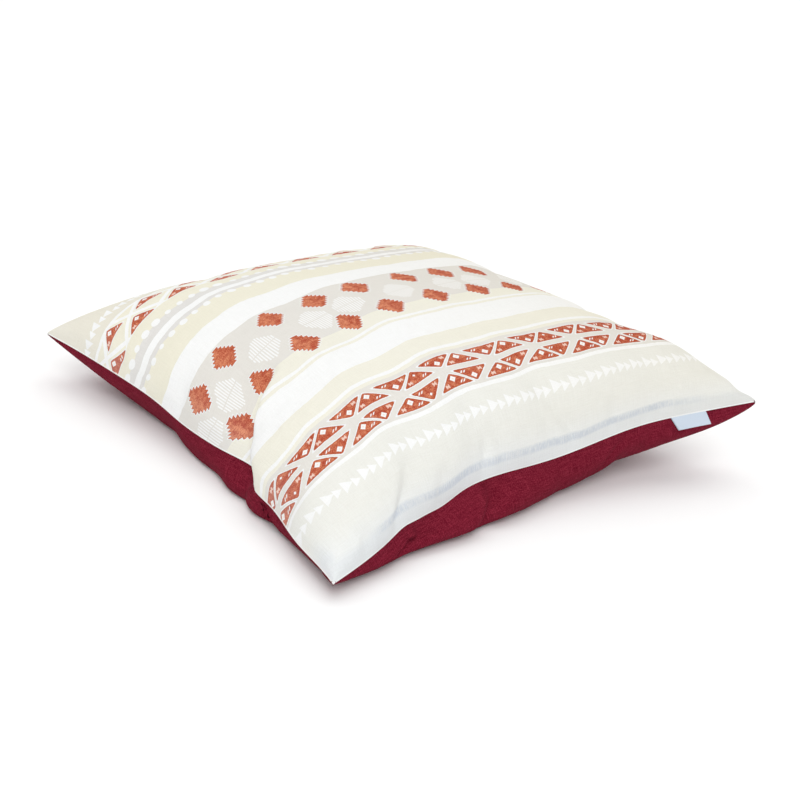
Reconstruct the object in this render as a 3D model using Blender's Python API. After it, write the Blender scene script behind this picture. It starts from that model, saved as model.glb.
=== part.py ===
# Square outdoor cushion lying on its back: a filled body, its printed front panel and a label tape.
# Metres, +Z up. X runs along the front seam, Y from the front seam to the back one, the floor is at Z 0.
# A place on a panel is (p, q): p goes from -1 at the left seam to 1 at the right one, and q from
# -1 at the front seam to 1 at the back one.

import math
from collections import namedtuple

import bmesh
import bpy
import numpy as np
from mathutils import Vector

# Columns of the tables below. A place along a seam is measured from the seam's middle, and low and
# high are half widths towards its low end and its high end. A wave moves its seam out and up. A fold
# is deepest at peak and ends at end, both measured in from the seam along the cloth, and it leans
# along the seam by lean for each metre in. A bulge stands out past its seam.
Wave = namedtuple("Wave", "seam at low high out up")
Fold = namedtuple("Fold", "seam at peak end low high depth lean")
Bulge = namedtuple("Bulge", "seam at half out")

# The whole cushion, filled: its side from corner to corner, how far the crown of the front panel
# rises over the seams and where along p and q it is highest, and how full and how steep its flanks are
SIDE = 0.419
CROWN = 0.088
CROWN_SHIFT = (0.16, 0.0)
CROWN_FULLNESS = 2.43
CROWN_STEEPNESS = 0.44
SIDE_CURVE = 2.0

# How high each corner of the seam stands over the floor
CORNER_HEIGHT = {
    "front_left": 0.014,
    "front_right": 0.070,
    "back_left": 0.041,
    "back_right": 0.076,
}

# Each seam: how far its middle is drawn in, and how high its middle lies
SEAMS = {
    "front": {"drawn_in": 0.041, "height": 0.037},
    "left": {"drawn_in": 0.027, "height": 0.026},
    "right": {"drawn_in": 0.028, "height": 0.053},
    "back": {"drawn_in": 0.012, "height": 0.051},
}

# Where the seams leave their even line
SEAM_WAVES = (
    Wave("front", -0.180, 0.040, 0.040, 0.003, -0.001),
    Wave("front", -0.062, 0.050, 0.050, -0.002, 0.003),
    Wave("front", 0.028, 0.055, 0.055, 0.001, -0.003),
    Wave("front", 0.112, 0.045, 0.045, -0.001, 0.002),
    Wave("left", -0.155, 0.035, 0.035, 0.003, -0.002),
    Wave("left", -0.086, 0.020, 0.007, 0.003, 0.000),
    Wave("left", -0.064, 0.007, 0.032, -0.010, 0.003),
    Wave("left", 0.020, 0.035, 0.035, 0.001, -0.002),
    Wave("left", 0.125, 0.050, 0.050, 0.001, 0.000),
    Wave("right", -0.070, 0.040, 0.040, -0.004, 0.003),
    Wave("right", 0.090, 0.045, 0.045, -0.003, 0.002),
    Wave("back", -0.080, 0.045, 0.045, -0.004, 0.002),
    Wave("back", 0.060, 0.045, 0.045, -0.003, 0.003),
)
WAVE_REACH = 0.055

# A panel climbs steeply from its seam, so the way along the cloth is longer than over the floor
CLIMB = 0.020
CLIMB_START = 0.0035

# Troughs in the front panel, and one ridge of negative depth
FRONT_FOLDS = (
    Fold("front", -0.128, 0.040, 0.100, 0.014, 0.018, 0.003, 0.2),
    Fold("front", -0.056, 0.042, 0.095, 0.014, 0.016, 0.003, 0.0),
    Fold("front", 0.022, 0.045, 0.105, 0.012, 0.016, 0.003, -0.2),
    Fold("front", 0.125, 0.040, 0.090, 0.014, 0.016, 0.002, 0.0),
    Fold("right", -0.150, 0.040, 0.120, 0.022, 0.022, -0.004, 0.0),
    Fold("right", -0.112, 0.045, 0.110, 0.012, 0.012, 0.003, 0.0),
    Fold("right", -0.082, 0.045, 0.120, 0.012, 0.014, 0.004, 0.0),
    Fold("right", 0.028, 0.045, 0.110, 0.014, 0.016, 0.004, 0.0),
    Fold("right", 0.120, 0.045, 0.110, 0.014, 0.016, 0.003, -0.1),
    Fold("left", 0.080, 0.042, 0.100, 0.014, 0.016, 0.002, 0.1),
    Fold("back", -0.100, 0.045, 0.110, 0.014, 0.016, 0.003, 0.1),
    Fold("back", 0.080, 0.045, 0.110, 0.014, 0.016, 0.003, -0.1),
)

# The pinch, where the front panel folds over itself at the left seam. Its lip leaves the seam at
# PINCH_AT, leans and curves towards the back, and hangs over a trough on its back side.
PINCH_AT = -0.078
PINCH_LEAN = 1.2
PINCH_CURVE = 8.7
PINCH_PEAK = 0.022
PINCH_END = 0.115
PINCH_TROUGH = {"offset": 0.008, "low": 0.007, "high": 0.036, "depth": 0.013}
PINCH_LIP = {"offset": -0.007, "low": 0.022, "high": 0.006, "rise": 0.003, "over": 0.006}

# The back panel: how deep it would hang with no floor, how full it is towards its seams, how softly
# it meets the floor, the patch along p and q that rests flat and how fast the panel lifts outside
# it, where it bulges out past a seam on its way down, and its own troughs
BACK_DROP = 0.082
BACK_FULLNESS = 1.6
BACK_STEEPNESS = 0.44
FLOOR_ROUNDING = 0.006
REST_ALONG_P = (-0.68, 0.50)
REST_ALONG_Q = (-0.55, 0.55)
REST_LIFT = 0.004
BACK_BULGES = (
    Bulge("front", -0.060, 0.075, 0.019),
    Bulge("front", 0.110, 0.070, 0.007),
    Bulge("left", -0.075, 0.030, 0.009),
    Bulge("left", 0.045, 0.045, -0.005),
    Bulge("left", -0.155, 0.030, -0.005),
    Bulge("right", 0.000, 0.100, 0.012),
    Bulge("back", 0.000, 0.100, 0.012),
)
BULGE_DEPTH = 0.7
BULGE_REACH = 0.100
BACK_FOLDS = (
    Fold("front", -0.108, 0.030, 0.070, 0.008, 0.012, 0.004, 0.5),
    Fold("front", -0.046, 0.030, 0.070, 0.008, 0.012, 0.004, 0.5),
    Fold("front", 0.090, 0.035, 0.080, 0.012, 0.016, 0.004, 0.3),
    Fold("left", -0.075, 0.030, 0.080, 0.010, 0.014, 0.006, -0.8),
    Fold("left", 0.040, 0.030, 0.070, 0.012, 0.014, 0.003, 0.4),
    Fold("right", 0.030, 0.035, 0.080, 0.012, 0.016, 0.004, 0.0),
    Fold("back", -0.020, 0.035, 0.080, 0.012, 0.016, 0.004, 0.0),
)

# Cloth, and the clearance between pieces
CLOTH = 0.001
CLEARANCE = 0.0003

# Label tape: its middle along the front seam, its width, and how far it stands out and hangs down
LABEL_AT = 0.150
LABEL_WIDTH = 0.034
LABEL_OUT = 0.0105
LABEL_DOWN = 0.0085
LABEL_STEPS = 6
LABEL_ROOT = 0.0018

# Rows of cloth between two seams, closer together towards the seams, and across the pinch
ROWS_ACROSS = 32
ROWS_BACK = 38
SEAM_CROWDING = 0.02
PINCH_CROWDING = {"at": -0.30, "half": 0.14, "share": 2.5}

CANVAS = ((0.90, 0.88, 0.80), 0.85)
BURGUNDY = ((0.20, 0.012, 0.035), 0.85)
TAPE = ((0.72, 0.76, 0.80), 0.70)


def clear_scene():
    for thing in list(bpy.data.objects):
        bpy.data.objects.remove(thing, do_unlink=True)


def material(name, look):
    colour, roughness = look
    made = bpy.data.materials.new(name)
    made.use_nodes = True
    shader = made.node_tree.nodes["Principled BSDF"]
    shader.inputs["Base Color"].default_value = (*colour, 1.0)
    shader.inputs["Roughness"].default_value = roughness
    shader.inputs["Metallic"].default_value = 0.0
    return made


def bump(distance, low, high):
    """A soft hump, low wide on its low side and high wide on its high side."""
    width = np.where(distance < 0, low, high)
    return np.exp(-((distance / width) ** 2))


def row_places(count, pinched):
    """Places from -1 to 1, closer together towards both ends and, if pinched, at the pinch."""
    even = np.linspace(-1.0, 1.0, 2001)
    density = 1 / np.sqrt(1 - even**2 + SEAM_CROWDING**2)
    if pinched:
        half = PINCH_CROWDING["half"]
        density += PINCH_CROWDING["share"] * bump(even - PINCH_CROWDING["at"], half, half)
    run = np.cumsum(density)
    run = (run - run[0]) / (run[-1] - run[0])
    return np.interp(np.linspace(0.0, 1.0, count + 1), run, even)


def seam_axes(seam, p, q):
    """Distance along a seam from its middle, distance in along the cloth, and its outward direction."""
    along = {"front": p, "back": p, "left": q, "right": q}[seam] * SIDE / 2
    inward = {"front": q + 1, "back": 1 - q, "left": p + 1, "right": 1 - p}[seam] * SIDE / 2
    outward = {"front": (0, -1), "back": (0, 1), "left": (-1, 0), "right": (1, 0)}[seam]
    return along, inward + CLIMB * (1 - np.exp(-inward / CLIMB_START)), outward


def plan(p, q):
    """Place over the floor, with each side drawn in between its corners."""
    left_to_right = (p + 1) / 2
    front_to_back = (q + 1) / 2
    half = SIDE / 2
    in_x = SEAMS["left"]["drawn_in"] * (1 - left_to_right) + SEAMS["right"]["drawn_in"] * left_to_right
    in_y = SEAMS["front"]["drawn_in"] * (1 - front_to_back) + SEAMS["back"]["drawn_in"] * front_to_back
    x = half * p - in_x * p * np.abs(p) * (1 - np.abs(q) ** SIDE_CURVE)
    y = half * q - in_y * q * np.abs(q) * (1 - np.abs(p) ** SIDE_CURVE)
    return x, y


def seam_profile(start, end, middle, t):
    """Height along one seam, from its corner heights and its height halfway."""
    straight = start * (1 - t) / 2 + end * (1 + t) / 2
    return straight + (middle - (start + end) / 2) * (1 - t**2)


def seam_sheet(p, q):
    """Height of the smooth sheet that spans the four seams."""
    corner = CORNER_HEIGHT
    front = seam_profile(corner["front_left"], corner["front_right"], SEAMS["front"]["height"], p)
    back = seam_profile(corner["back_left"], corner["back_right"], SEAMS["back"]["height"], p)
    left = seam_profile(corner["front_left"], corner["back_left"], SEAMS["left"]["height"], q)
    right = seam_profile(corner["front_right"], corner["back_right"], SEAMS["right"]["height"], q)
    s = (p + 1) / 2
    t = (q + 1) / 2
    flat = (1 - t) * ((1 - s) * corner["front_left"] + s * corner["front_right"])
    flat += t * ((1 - s) * corner["back_left"] + s * corner["back_right"])
    return (1 - t) * front + t * back + (1 - s) * left + s * right - flat


def swell(t, shift, fullness, steepness):
    """How far the filling lifts a panel along one direction, 0 at both seams and 1 at the crown."""
    side = np.where(t < shift, (t - shift) / (1 + shift), (t - shift) / (1 - shift))
    return np.clip(1 - np.abs(side) ** fullness, 0, 1) ** steepness


def wave(p, q):
    """How far the waves of the seams move a place, fading into the panel."""
    move = np.zeros(p.shape + (3,))
    for row in SEAM_WAVES:
        along, inward, outward = seam_axes(row.seam, p, q)
        share = bump(along - row.at, row.low, row.high) * np.exp(-inward / WAVE_REACH)
        move[..., 0] += share * row.out * outward[0]
        move[..., 1] += share * row.out * outward[1]
        move[..., 2] += share * row.up
    return move


def run_in(inward, peak, end):
    """Share of a fold's depth on its way in: none on the seam, all at its peak, none at its end."""
    rise = np.clip(inward / peak, 0, 1)
    fall = np.clip((end - inward) / (end - peak), 0, 1)
    return np.where(inward < peak, rise * (2 - rise), fall * fall * (3 - 2 * fall))


def trough(folds, p, q):
    """Depth of all the troughs of a panel at a place. It is zero on the seams themselves."""
    depth = np.zeros(p.shape)
    for row in folds:
        along, inward, _ = seam_axes(row.seam, p, q)
        across = along - row.at - row.lean * inward
        depth += row.depth * run_in(inward, row.peak, row.end) * bump(across, row.low, row.high)
    return depth


def pinch(p, q):
    """Depth of the pinch at a place, and how far its lip is drawn towards the back over the trough."""
    along, inward, _ = seam_axes("left", p, q)
    across = along - (PINCH_AT + PINCH_LEAN * inward - PINCH_CURVE * inward**2)
    share = run_in(inward, PINCH_PEAK, PINCH_END)
    hollow = bump(across - PINCH_TROUGH["offset"], PINCH_TROUGH["low"], PINCH_TROUGH["high"])
    lip = bump(across - PINCH_LIP["offset"], PINCH_LIP["low"], PINCH_LIP["high"])
    depth = share * (PINCH_TROUGH["depth"] * hollow - PINCH_LIP["rise"] * lip)
    return depth, share * PINCH_LIP["over"] * lip


def normals(points):
    """Upward normals of a grid of points."""
    along_p = np.gradient(points, axis=1)
    along_q = np.gradient(points, axis=0)
    n = np.cross(along_p, along_q)
    return n / np.linalg.norm(n, axis=-1, keepdims=True)


def front_surface(p, q):
    """Outer side of the printed panel."""
    x, y = plan(p, q)
    lift = swell(p, CROWN_SHIFT[0], CROWN_FULLNESS, CROWN_STEEPNESS)
    lift = lift * swell(q, CROWN_SHIFT[1], CROWN_FULLNESS, CROWN_STEEPNESS)
    points = np.stack([x, y, seam_sheet(p, q) + CROWN * lift], axis=-1) + wave(p, q)
    depth, over = pinch(p, q)
    points -= normals(points) * (trough(FRONT_FOLDS, p, q) + depth)[..., None]
    points[..., 1] += over
    return points


def beyond(t, stretch):
    """How far a place lies outside a stretch from its first to its last place, or 0 within it."""
    return np.maximum(np.maximum(stretch[0] - t, t - stretch[1]), 0)


def back_surface(p, q):
    """Outer side of the burgundy panel, bulging below its seams and flat where it rests."""
    x, y = plan(p, q)
    seam = seam_sheet(p, q)
    moved = wave(p, q)
    drop = BACK_DROP * swell(p, 0.0, BACK_FULLNESS, BACK_STEEPNESS)
    drop = drop * swell(q, 0.0, BACK_FULLNESS, BACK_STEEPNESS)
    free = seam + moved[..., 2] - drop + trough(BACK_FOLDS, p, q)
    soft = (free + FLOOR_ROUNDING) ** 2 / (4 * FLOOR_ROUNDING)
    z = np.where(free > FLOOR_ROUNDING, free, np.where(free < -FLOOR_ROUNDING, 0.0, soft))
    z = np.maximum(z, REST_LIFT * np.hypot(beyond(p, REST_ALONG_P), beyond(q, REST_ALONG_Q)))
    below = np.clip((1 - z / seam) / BULGE_DEPTH, 0, 1)
    part_way = below * (2 - below)
    for row in BACK_BULGES:
        along, inward, outward = seam_axes(row.seam, p, q)
        near = bump(along - row.at, row.half, row.half) * np.clip(1 - (inward / BULGE_REACH) ** 2, 0, 1)
        x = x + outward[0] * row.out * part_way * near
        y = y + outward[1] * row.out * part_way * near
    return np.stack([x + moved[..., 0], y + moved[..., 1], z], axis=-1)


def rim(rows, columns):
    """Grid places of the four seams, once round, counterclockwise from the front left corner."""
    ring = [(0, i) for i in range(columns - 1)]
    ring += [(i, columns - 1) for i in range(rows - 1)]
    ring += [(rows - 1, columns - 1 - i) for i in range(columns - 1)]
    ring += [(rows - 1 - i, 0) for i in range(rows - 1)]
    return ring


def rim_frames(points, up):
    """For each place on the rim, the direction in which the panel runs out over its edge."""
    ring = rim(*points.shape[:2])
    places = np.array([points[i] for i in ring])
    along = np.roll(places, -1, axis=0) - np.roll(places, 1, axis=0)
    along /= np.linalg.norm(along, axis=1, keepdims=True)
    n = np.array([up[i] for i in ring])
    out = np.cross(along, n)
    return ring, out / np.linalg.norm(out, axis=1, keepdims=True)


def add_grid(bm, points, facing_up):
    """Adds a grid of points as faces, and returns its vertices by row."""
    rows = [[bm.verts.new(point) for point in row] for row in points]
    for upper, lower in zip(rows[1:], rows):
        for i in range(len(upper) - 1):
            face = (lower[i], lower[i + 1], upper[i + 1], upper[i])
            bm.faces.new(face if facing_up else face[::-1])
    return rows


def add_band(bm, upper, lower):
    """Closes the strip between two rings that run counterclockwise, facing out."""
    count = len(upper)
    for i in range(count):
        after = (i + 1) % count
        bm.faces.new((lower[i], lower[after], upper[after], upper[i]))


def add_object(name, bm, finish):
    mesh = bpy.data.meshes.new(name)
    bmesh.ops.triangulate(bm, faces=bm.faces)
    bm.to_mesh(mesh)
    bm.free()
    mesh.materials.append(finish)
    mesh.shade_smooth()
    mesh.set_sharp_from_angle(angle=math.radians(50))
    thing = bpy.data.objects.new(name, mesh)
    bpy.context.scene.collection.objects.link(thing)
    return thing


def panel_grid():
    return np.meshgrid(row_places(ROWS_ACROSS, False), row_places(ROWS_BACK, True))


def make_front_panel(surface, up):
    """The printed canvas, one cloth thick, down to the seam all round."""
    bm = bmesh.new()
    outer = add_grid(bm, surface, True)
    inner = add_grid(bm, surface - up * CLOTH, False)
    ring = rim(*surface.shape[:2])
    add_band(bm, [outer[r][c] for r, c in ring], [inner[r][c] for r, c in ring])
    return add_object("front_panel", bm, material("printed_canvas", CANVAS))


def make_cushion_body(surface, up, back):
    """The filled body under the printed panel, which shows as the burgundy back panel."""
    bm = bmesh.new()
    ring, out = rim_frames(surface, up)
    top = surface - up * (CLOTH + CLEARANCE)
    under = back.copy()
    for (r, c), direction in zip(ring, out):
        top[r, c] += direction * CLEARANCE
        under[r, c] = surface[r, c] + direction * CLEARANCE
    upper = add_grid(bm, top, True)
    lower = add_grid(bm, under, False)
    add_band(bm, [upper[r][c] for r, c in ring], [lower[r][c] for r, c in ring])
    return add_object("cushion_body", bm, material("burgundy_canvas", BURGUNDY))


def make_label(p_line, seam_line):
    """A folded tape that stands out of the front seam and droops."""
    places = np.linspace(LABEL_AT - LABEL_WIDTH / 2, LABEL_AT + LABEL_WIDTH / 2, LABEL_STEPS + 1)
    root = np.stack([np.interp(places, p_line * SIDE / 2, seam_line[:, k]) for k in range(3)], axis=-1)
    fall = Vector((0, -LABEL_OUT, -LABEL_DOWN))
    along = Vector(root[-1] - root[0]).normalized()
    face = along.cross(fall).normalized()
    if face.z < 0:
        face.negate()
    root += np.array(fall.normalized()) * LABEL_ROOT
    edge = root + np.array(fall)
    bm = bmesh.new()
    outer = add_grid(bm, np.stack([edge, root]), True)
    inner = add_grid(bm, np.stack([edge, root]) - np.array(face) * CLOTH, False)
    ring = rim(2, LABEL_STEPS + 1)
    add_band(bm, [outer[r][c] for r, c in ring], [inner[r][c] for r, c in ring])
    return add_object("label", bm, material("label_tape", TAPE))


def stand_on_middle(things):
    """Moves all pieces so that the middle of their common box stands on the origin."""
    corners = np.array([v.co for thing in things for v in thing.data.vertices])
    low, high = corners.min(axis=0), corners.max(axis=0)
    shift = Vector(((low[0] + high[0]) / 2, (low[1] + high[1]) / 2, low[2]))
    for thing in things:
        for vertex in thing.data.vertices:
            vertex.co -= shift


def main():
    clear_scene()
    p, q = panel_grid()
    surface = front_surface(p, q)
    up = normals(surface)
    body = make_cushion_body(surface, up, back_surface(p, q))
    panel = make_front_panel(surface, up)
    label = make_label(p[0], surface[0])
    stand_on_middle([body, panel, label])


main()
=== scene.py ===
# Square outdoor cushion lying on its back, dressed: a printed cover, a filled burgundy back and a
# label tape. Metres, +Z up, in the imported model's frame. X runs along the front seam, Y from the
# front seam to the back one. A place on a panel is (p, q): p goes from -1 at the left seam to 1 at the
# right one, and q from -1 at the front seam to 1 at the back one.

import math
from collections import namedtuple
from functools import partialmethod

import bmesh
import bpy
import numpy as np
from mathutils import Matrix, Vector


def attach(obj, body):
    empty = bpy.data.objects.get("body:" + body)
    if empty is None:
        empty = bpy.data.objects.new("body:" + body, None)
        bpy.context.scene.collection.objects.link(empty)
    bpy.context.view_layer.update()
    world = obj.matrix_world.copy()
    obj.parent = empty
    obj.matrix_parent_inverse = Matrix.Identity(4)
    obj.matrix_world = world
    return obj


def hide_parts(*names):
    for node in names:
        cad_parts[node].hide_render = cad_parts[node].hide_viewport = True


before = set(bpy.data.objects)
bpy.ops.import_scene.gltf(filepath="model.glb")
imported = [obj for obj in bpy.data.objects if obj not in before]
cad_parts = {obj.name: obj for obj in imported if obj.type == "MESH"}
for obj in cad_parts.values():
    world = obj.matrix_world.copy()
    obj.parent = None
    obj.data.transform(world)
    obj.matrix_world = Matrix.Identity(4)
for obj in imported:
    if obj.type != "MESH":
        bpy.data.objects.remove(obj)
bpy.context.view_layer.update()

# Columns of the tables by seam, in millimetres. A place along a seam is measured from its middle, and
# low and high are half widths towards its low end and its high end. A wave moves its seam out and up.
# A fold is deepest at peak and ends at end, both measured in from the seam along the cloth, and it
# leans along the seam by lean for each metre in. A bulge stands out past its seam.
Wave = namedtuple("Wave", "seam at low high out up")
Fold = namedtuple("Fold", "seam at peak end low high depth lean")
Bulge = namedtuple("Bulge", "seam at half out")


def by_seam(kind, **seams):
    """The rows of a table, brought to metres, each with the name of its seam in front."""
    return [kind(seam, *(x / 1000 for x in row)) for seam, table in seams.items() for row in table]


# The whole cushion, filled: its side from corner to corner, how far the crown of the front panel
# rises over the seams and where along p and q it is highest, and how full and how steep its flanks are
SIDE = 0.419
CROWN = 0.088
CROWN_SHIFT = (0.16, 0.0)
CROWN_FULLNESS = 2.43
CROWN_STEEPNESS = 0.44
SIDE_CURVE = 2.0

# How high each corner of the seam stands over the floor
CORNER_HEIGHT = {"front_left": 0.014, "front_right": 0.0692, "back_left": 0.041, "back_right": 0.076}

# How far the middle of each seam is drawn in, and how high it lies
DRAWN_IN = {"front": 0.041, "left": 0.027, "right": 0.028, "back": 0.012}
MIDDLE_HEIGHT = {"front": 0.037, "left": 0.026, "right": 0.053, "back": 0.051}

# Where the seams leave their even line
SEAM_WAVES = by_seam(
    Wave,
    front=(
        (-180, 40, 40, 3, -1), (-136, 14, 12, 0, 2.5), (-92, 18, 17, 0, -3), (-62, 50, 50, -2, 3),
        (28, 55, 55, 1, -3), (112, 45, 45, -1, 1.2),
    ),
    left=(
        (-155, 35, 35, 3, -2), (-95, 20, 7, 3, 0), (-73, 7, 36, -9, 3), (20, 35, 35, 1, -2),
        (125, 50, 50, 1, 0),
    ),
    right=((-70, 40, 40, -4, 3), (90, 45, 45, -3, 2)),
    back=((-80, 45, 45, -4, 2), (60, 45, 45, -3, 3)),
)
WAVE_REACH = 0.055

# A panel climbs steeply from its seam, so the way along the cloth is longer than over the floor
CLIMB = 0.020
CLIMB_START = 0.0035

# Troughs in the front panel, and a ridge, whose depth is below 0
FRONT_FOLDS = by_seam(
    Fold,
    front=(
        (-128, 40, 100, 14, 18, 3, 200), (-56, 42, 95, 14, 16, 3, 0), (22, 45, 105, 12, 16, 3, -200),
        (125, 40, 90, 14, 16, 2, 0),
    ),
    right=(
        (-150, 40, 120, 22, 22, -4, 0), (-112, 45, 110, 12, 12, 3, 0), (-82, 45, 120, 12, 14, 4, 0),
        (28, 45, 110, 14, 16, 4, 0), (120, 45, 110, 14, 16, 3, -100),
    ),
    left=((80, 42, 100, 14, 16, 2, 100),),
    back=((-100, 45, 110, 14, 16, 3, 100), (80, 45, 110, 14, 16, 3, -100)),
)

# The pinch, where the front panel folds over itself at the left seam. Its lip leaves the seam at
# PINCH_AT, leans and curves towards the back, and hangs over a trough on its back side.
PINCH_AT = -0.087
PINCH_LEAN = 1.05
PINCH_CURVE = 5.5
PINCH_PEAK = 0.022
PINCH_END = 0.088
PINCH_TROUGH = {"offset": 0.008, "low": 0.007, "high": 0.036, "depth": 0.013}
PINCH_LIP = {"offset": -0.007, "low": 0.022, "high": 0.006, "rise": 0.003, "over": 0.006}

# The back panel: how deep it would hang with no floor, how full it is towards its seams, how softly
# it meets the floor, the patch along p and q that rests flat and how fast the panel lifts outside
# it, where it bulges out past a seam on its way down, and its own troughs
BACK_DROP = 0.082
BACK_FULLNESS = 1.6
BACK_STEEPNESS = 0.44
FLOOR_ROUNDING = 0.006
REST_ALONG_P = (-0.68, 0.50)
REST_ALONG_Q = (-0.55, 0.55)
REST_LIFT = 0.004
BACK_BULGES = by_seam(
    Bulge,
    front=((-60, 75, 19), (-152, 30, 4), (110, 70, 3)),
    left=((-86, 20, 4), (-118, 24, 1), (-56, 24, 11), (0, 26, 2), (80, 55, -6), (-165, 35, -3)),
    right=((0, 100, 12),),
    back=((0, 100, 12),),
)
BULGE_DEPTH = 0.7
BULGE_REACH = 0.100
BACK_FOLDS = by_seam(
    Fold,
    front=((-108, 30, 70, 8, 12, 1, 500), (-46, 30, 70, 8, 12, 2, 500), (90, 35, 80, 12, 16, 4, 300)),
    left=((-92, 18, 75, 3, 16, 6, -1100), (40, 30, 70, 12, 14, 3, 400)),
    right=((30, 35, 80, 12, 16, 4, 0),),
    back=((-20, 35, 80, 12, 16, 4, 0),),
)

# Cloth, and the clearance between pieces
CLOTH = 0.001
CLEARANCE = 0.0003

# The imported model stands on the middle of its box, which lies here in the form's own coordinates
BOX_MIDDLE = (-0.0000194, -0.0007745, 0.0)

# Cells of cloth along each direction, and how evenly they are shared out between two seams
CELLS = 208
EVEN_SHARE = 0.4

# The flat panel's side, in millimetres, the part of the texture map that it fills, and where on the
# map the outer and the inner points of the faces that don't show lie
PANEL = 450.0
MAP_FILL = 0.96
HIDDEN_ROWS = (0.005, 0.013)

# Smaller creases of both panels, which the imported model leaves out. Where the depth is below 0, the
# panel is fuller instead: in the middle of its flank, and by the right corner.
FRONT_CREASES = by_seam(
    Fold,
    front=(
        (-177, 12, 30, 5, 7, 1.4, 0), (-146, 17, 50, 6, 9, 2.6, 500), (-96, 14, 34, 6, 8, 1.2, 100),
        (-50, 19, 42, 5, 7, 2.2, 50), (-31, 22, 56, 4, 6, 1.7, -240), (40, 18, 64, 4, 7, 2.7, -550),
        (40, 22, 48, 4, 5, 1.6, -310), (76, 18, 36, 5, 6, 1.5, 50), (161, 18, 48, 7, 9, 1.8, -700),
    ),
    left=((28, 14, 50, 7, 9, 2, 100), (110, 12, 44, 6, 8, 1.7, 200), (-140, 12, 46, 6, 9, 2, -200)),
    right=((-30, 14, 50, 7, 9, 2.4, 100), (70, 14, 50, 7, 9, 2.4, -200)),
    back=(
        (-150, 14, 50, 7, 9, 2.4, 100), (-30, 14, 50, 7, 9, 2.4, -100), (30, 14, 50, 7, 9, 2, 200),
        (140, 14, 50, 7, 9, 2.4, -100),
    ),
)
BACK_CREASES = by_seam(
    Fold,
    front=(
        (-20, 30, 75, 125, 120, -4, 0), (-106.5, 6, 60, 7, 20, 6, -2450),
        (-41, 11, 70, 8, 14, 9.2, -700), (20, 20, 50, 6, 10, 1.2, 300), (91, 18, 52, 4, 9, 2.6, -500),
        (117, 14, 40, 6, 6, 1.6, 0), (178, 22, 75, 38, 38, -4.8, 0),
    ),
    left=((-104, 20, 65, 4, 12, 4.5, -700), (0, 18, 46, 6, 10, 1.6, 300)),
    right=((-80, 20, 50, 6, 10, 1.8, 300), (100, 20, 50, 6, 10, 1.8, -300)),
    back=((-100, 20, 50, 6, 10, 1.8, 300), (70, 20, 50, 6, 10, 1.8, -300)),
)

# The flat ear at the tip of a corner: along p and q, how far from the tip the front panel starts to
# rise, over how much of the way, and how much lower it lies there
Ear = namedtuple("Ear", "along_p along_q at half depth")
EAR_SEAM = 0.006
EARS = (Ear(1, -1, 0.011, 0.011, 0.0028), Ear(1, 1, 0.012, 0.012, 0.0030))

# Cloth settling: cells along each direction, frames, the height under which the cloth stays on the
# floor, and how the cloth behaves
CLOTH_CELLS = 104
CLOTH_FRAMES = 18
CLOTH_RESTS = 0.002
CLOTH_SETTINGS = {
    "quality": 8, "mass": 0.0005, "air_damping": 3, "use_pressure": True, "uniform_pressure_force": 1.2,
    "tension_stiffness": 30.0, "compression_stiffness": 30.0, "shear_stiffness": 10.0,
    "bending_stiffness": 0.4, "tension_damping": 5, "compression_damping": 5, "shear_damping": 5,
    "vertex_group_mass": "pinned",
}

# The part of the settled shape that is kept, which is its wrinkles: how many cells wide they are at
# most, how high at most, and over how many cells they fade towards the seams
WRINKLE_CELLS = 5.0
WRINKLE_LIMIT = 0.0022
WRINKLE_FADE = 4

# Where the cloth lies off an even spread between its seams: the middle and the half widths of each
# shift on the flat cut, and how far the print moves there, in millimetres
Slip = namedtuple("Slip", "u v half_u half_v along_u along_v")
SLIPS = [Slip(*row) for row in (
    (45, -8, 130, 100, -12, 0), (30, 100, 150, 60, 0, 5), (-108, -38, 72, 50, 0, 6),
    (-110, 25, 110, 35, 0, 3.5), (5, -10, 50, 60, 0, -3), (-25, 10, 75, 60, -4.5, 0),
    (65, 0, 45, 60, 3, 0), (100, -10, 40, 80, 0, 5), (25, 75, 130, 60, 0, 4), (30, -145, 45, 45, 0, -3),
    (125, -135, 55, 60, 0, 5), (150, -180, 60, 40, 0, 3), (75, -175, 60, 25, -4.5, 0),
    (20, -125, 50, 30, -4, 0), (-158, -30, 40, 40, 3.5, 0), (-190, 160, 60, 35, 0, 2),
    (-160, -80, 50, 35, 0, 2.5), (-150, 85, 60, 60, 0, 2.5), (-130, 135, 45, 35, -5.5, -5.5),
    (-190, -110, 30, 30, 0, 5), (-60, -170, 50, 40, 0, 2.5), (185, -60, 40, 50, 0, 5),
    (185, 105, 40, 50, 0, 8),
)]


def set_up(thing, **settings):
    for name, value in settings.items():
        setattr(thing, name, value)
    return thing


def new_mesh(name, points, faces):
    mesh = bpy.data.meshes.new(name)
    mesh.from_pydata(np.array(points).tolist(), [], np.array(faces).tolist())
    return mesh


def added(name, data):
    """A new object in the scene."""
    made = bpy.data.objects.new(name, data)
    bpy.context.scene.collection.objects.link(made)
    return made


def bump(distance, low, high):
    """A soft hump, low wide on its low side and high wide on its high side."""
    width = np.where(distance < 0, low, high)
    return np.exp(-((distance / width) ** 2))


def seam_axes(seam, p, q):
    """Distance along a seam from its middle, distance in along the cloth, and its outward direction."""
    x, y = {"front": (0, -1), "back": (0, 1), "left": (-1, 0), "right": (1, 0)}[seam]
    along = (p if y else q) * SIDE / 2
    inward = (1 - p * x - q * y) * SIDE / 2
    return along, inward + CLIMB * (1 - np.exp(-inward / CLIMB_START)), (x, y)


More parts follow.
